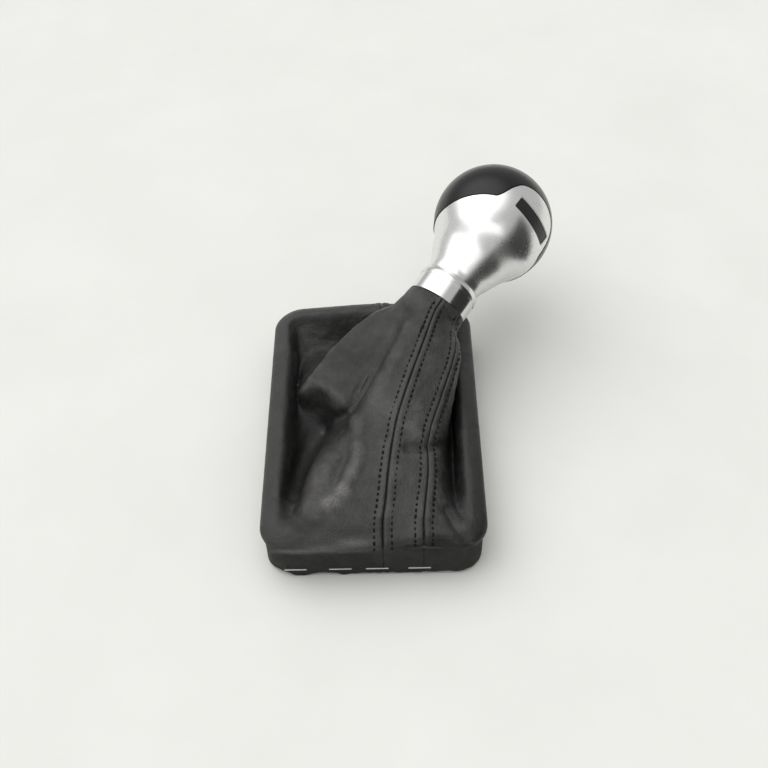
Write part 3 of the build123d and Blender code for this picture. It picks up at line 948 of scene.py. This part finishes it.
badge_side = upper_side * math.cos(badge_turn) + right_side * math.sin(badge_turn)
across_side = np.cross(lever_axis, badge_side)
head_across = across_side * math.cos(head_roll) + lever_axis * math.sin(head_roll)
head_up = lever_axis * math.cos(head_roll) - across_side * math.sin(head_roll)
ball_centre = flange_centre + lever_axis * ball_height


def fine_curve(points):
    """Points close together on a smooth curve through a few points."""
    places = arc_places(points)
    return smooth(places, points, np.linspace(0.0, places[-1], curve_points))


def on_ball(across):
    """How far points on the ball lie from a plane through its middle, by their places in it."""
    reach = (ball_radius - gap_line_depth) ** 2 - (across ** 2).sum(axis=1)
    return np.sqrt(np.maximum(reach, 0.0))


dip = fine_curve([(x, z + parting_grow) for x, z in parting_line])
tongue_right = [(y + parting_grow, z + parting_grow) for y, z in tongue_side]
tongue_left = [(-y, z) for y, z in reversed(tongue_right)]
tongue = fine_curve(tongue_left + [(0.0, tongue_top + parting_grow)] + tongue_right)
tongue_out = on_ball(tongue)
above_dip = tongue[:, 1] > np.interp(tongue_out, dip[:, 0], dip[:, 1])
dip_out = on_ball(dip)
right_half = tongue[curve_points // 2:]
tongue_reach = np.interp(-dip[:, 1], -right_half[:, 1], right_half[:, 0])
beside_tongue = (dip[:, 0] < 0.0) | (dip_out > tongue_reach)
parting_paths = [np.column_stack([tongue_out, tongue])[above_dip]]
for side in (-1.0, 1.0):
    parting_paths.append(np.column_stack([dip[:, 0], side * dip_out, dip[:, 1]])[beside_tongue])

gap_curve = bpy.data.curves.new("parting_line", "CURVE")
gap_curve.dimensions = "3D"
gap_curve.bevel_depth = gap_line_radius * MM
gap_curve.bevel_resolution = 2
for path in parting_paths:
    spline = gap_curve.splines.new("POLY")
    spline.points.add(len(path) - 1)
    for point, (out, along, up_by) in zip(spline.points, path):
        place = ball_centre + badge_side * out + head_across * along + head_up * up_by
        point.co = (*(place * MM), 1.0)
gap_curve.materials.append(parting_shadow_finish)
gap_line = bpy.data.objects.new("parting_line", gap_curve)
bpy.context.collection.objects.link(gap_line)
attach(gap_line, "trim")


# Floor, light and camera
def stage_face(name, corners, material):
    mesh = bpy.data.meshes.new(name)
    mesh.from_pydata(corners, [], [tuple(range(len(corners)))])
    mesh.materials.append(material)
    piece = bpy.data.objects.new(name, mesh)
    bpy.context.collection.objects.link(piece)
    return piece


floor_finish, floor_tree, floor_shader = new_material("pale_floor")
floor_place = object_coordinates(floor_tree)
floor_dark = (0.80, 0.80, 0.775)
floor_pale = (0.84, 0.84, 0.815)
tint(floor_tree, floor_shader, floor_place, 14.0, 4.0, floor_dark, floor_pale)
floor_shader.inputs["Roughness"].default_value = 0.7
floor_half = 2.0
floor_signs = [(-1, -1), (1, -1), (1, 1), (-1, 1)]
stage_face("floor", [(x * floor_half, y * floor_half, 0.0) for x, y in floor_signs], floor_finish)

scene = bpy.context.scene
world = bpy.data.worlds.new("room")
scene.world = world
world.use_nodes = True
room = world.node_tree
look = room.nodes.new("ShaderNodeTexCoord").outputs["Generated"]


def lobe(direction, inner, outer):
    """One towards a direction and nought away from it, between two angles in degrees."""
    aim = Vector(direction).normalized()
    dot = room.nodes.new("ShaderNodeVectorMath")
    dot.operation = "DOT_PRODUCT"
    dot.inputs[1].default_value = aim
    room.links.new(look, dot.inputs[0])
    spread = room.nodes.new("ShaderNodeMapRange")
    spread.interpolation_type = "SMOOTHSTEP"
    spread.inputs["From Min"].default_value = math.cos(math.radians(outer))
    spread.inputs["From Max"].default_value = math.cos(math.radians(inner))
    room.links.new(dot.outputs["Value"], spread.inputs["Value"])
    return spread.outputs["Result"]


# Room light by direction: a pale room with a broad bright ceiling, up to the left and behind
ceiling_side = (-0.38, 0.17, 0.91)
ceiling_inner = 10.0
ceiling_outer = 54.0
ceiling_strength = 1.6
room_strength = 0.5
room_colour = (1.0, 1.0, 0.99, 1.0)

light = room.nodes.new("ShaderNodeMath")
light.operation = "MULTIPLY_ADD"
room.links.new(lobe(ceiling_side, ceiling_inner, ceiling_outer), light.inputs[0])
light.inputs[1].default_value = ceiling_strength
light.inputs[2].default_value = room_strength
background = room.nodes["Background"]
background.inputs["Color"].default_value = room_colour
room.links.new(light.outputs[0], background.inputs["Strength"])

# Soft windows for the knob alone: name, direction from the knob, width, height and power
knob_middle = Vector((54.0, 84.0, 57.0)) * MM
window_reach = 0.5
windows = [
    ("left_window", (-0.66, -0.35, 0.66), 0.5, 0.4, 0.6),
    ("front_window", (-0.25, -0.82, 0.52), 0.5, 0.2, 0.29),
]

knob_only = bpy.data.collections.new("knob_only")
for name in ("knob_shell", "neck_ring", "trim_collar", "badge_frame"):
    knob_only.objects.link(nodes[name])
for name, direction, width, height, power in windows:
    window_data = bpy.data.lights.new(name, "AREA")
    window_data.shape = "RECTANGLE"
    window_data.size = width
    window_data.size_y = height
    window_data.energy = power
    window = bpy.data.objects.new(name, window_data)
    bpy.context.collection.objects.link(window)
    place = knob_middle + Vector(direction).normalized() * window_reach
    aim = (knob_middle - place).to_track_quat("-Z", "Y")
    window.matrix_world = Matrix.LocRotScale(place, aim, None)
    window.light_linking.receiver_collection = knob_only

# A dark screen that only reflections see
screen_finish, screen_tree, screen_shader = new_material("dark_screen")
screen_place = object_coordinates(screen_tree)
tint(screen_tree, screen_shader, screen_place, 8.0, 3.0, grey(0.02), grey(0.03))
screen_shader.inputs["Roughness"].default_value = 1.0
screen_corners = [
    (122.0, 44.0, 0.0),
    (40.0, -230.0, 0.0),
    (40.0, -230.0, 34.0),
    (122.0, 44.0, 122.0),
]
screen = stage_face("dark_screen", [Vector(corner) * MM for corner in screen_corners], screen_finish)
screen.visible_camera = False
screen.visible_diffuse = False
screen.visible_shadow = False
screen.visible_transmission = False

# Camera in the photograph's view
camera_data = bpy.data.cameras.new("camera")
camera_data.sensor_width = 36.0
camera_data.lens = camera_data.sensor_width * view_reach / (2 * view_half)
camera = bpy.data.objects.new("camera", camera_data)
bpy.context.collection.objects.link(camera)
view_rows = np.column_stack([view_right, view_up, -view_ahead, view_place * MM])
camera.matrix_world = Matrix([*view_rows.tolist(), (0.0, 0.0, 0.0, 1.0)])
scene.camera = camera

scene.render.engine = "CYCLES"
scene.cycles.samples = 128
scene.cycles.use_denoising = True
scene.render.resolution_x = 768
scene.render.resolution_y = 768
scene.view_settings.view_transform = "Standard"
scene.view_settings.look = "None"
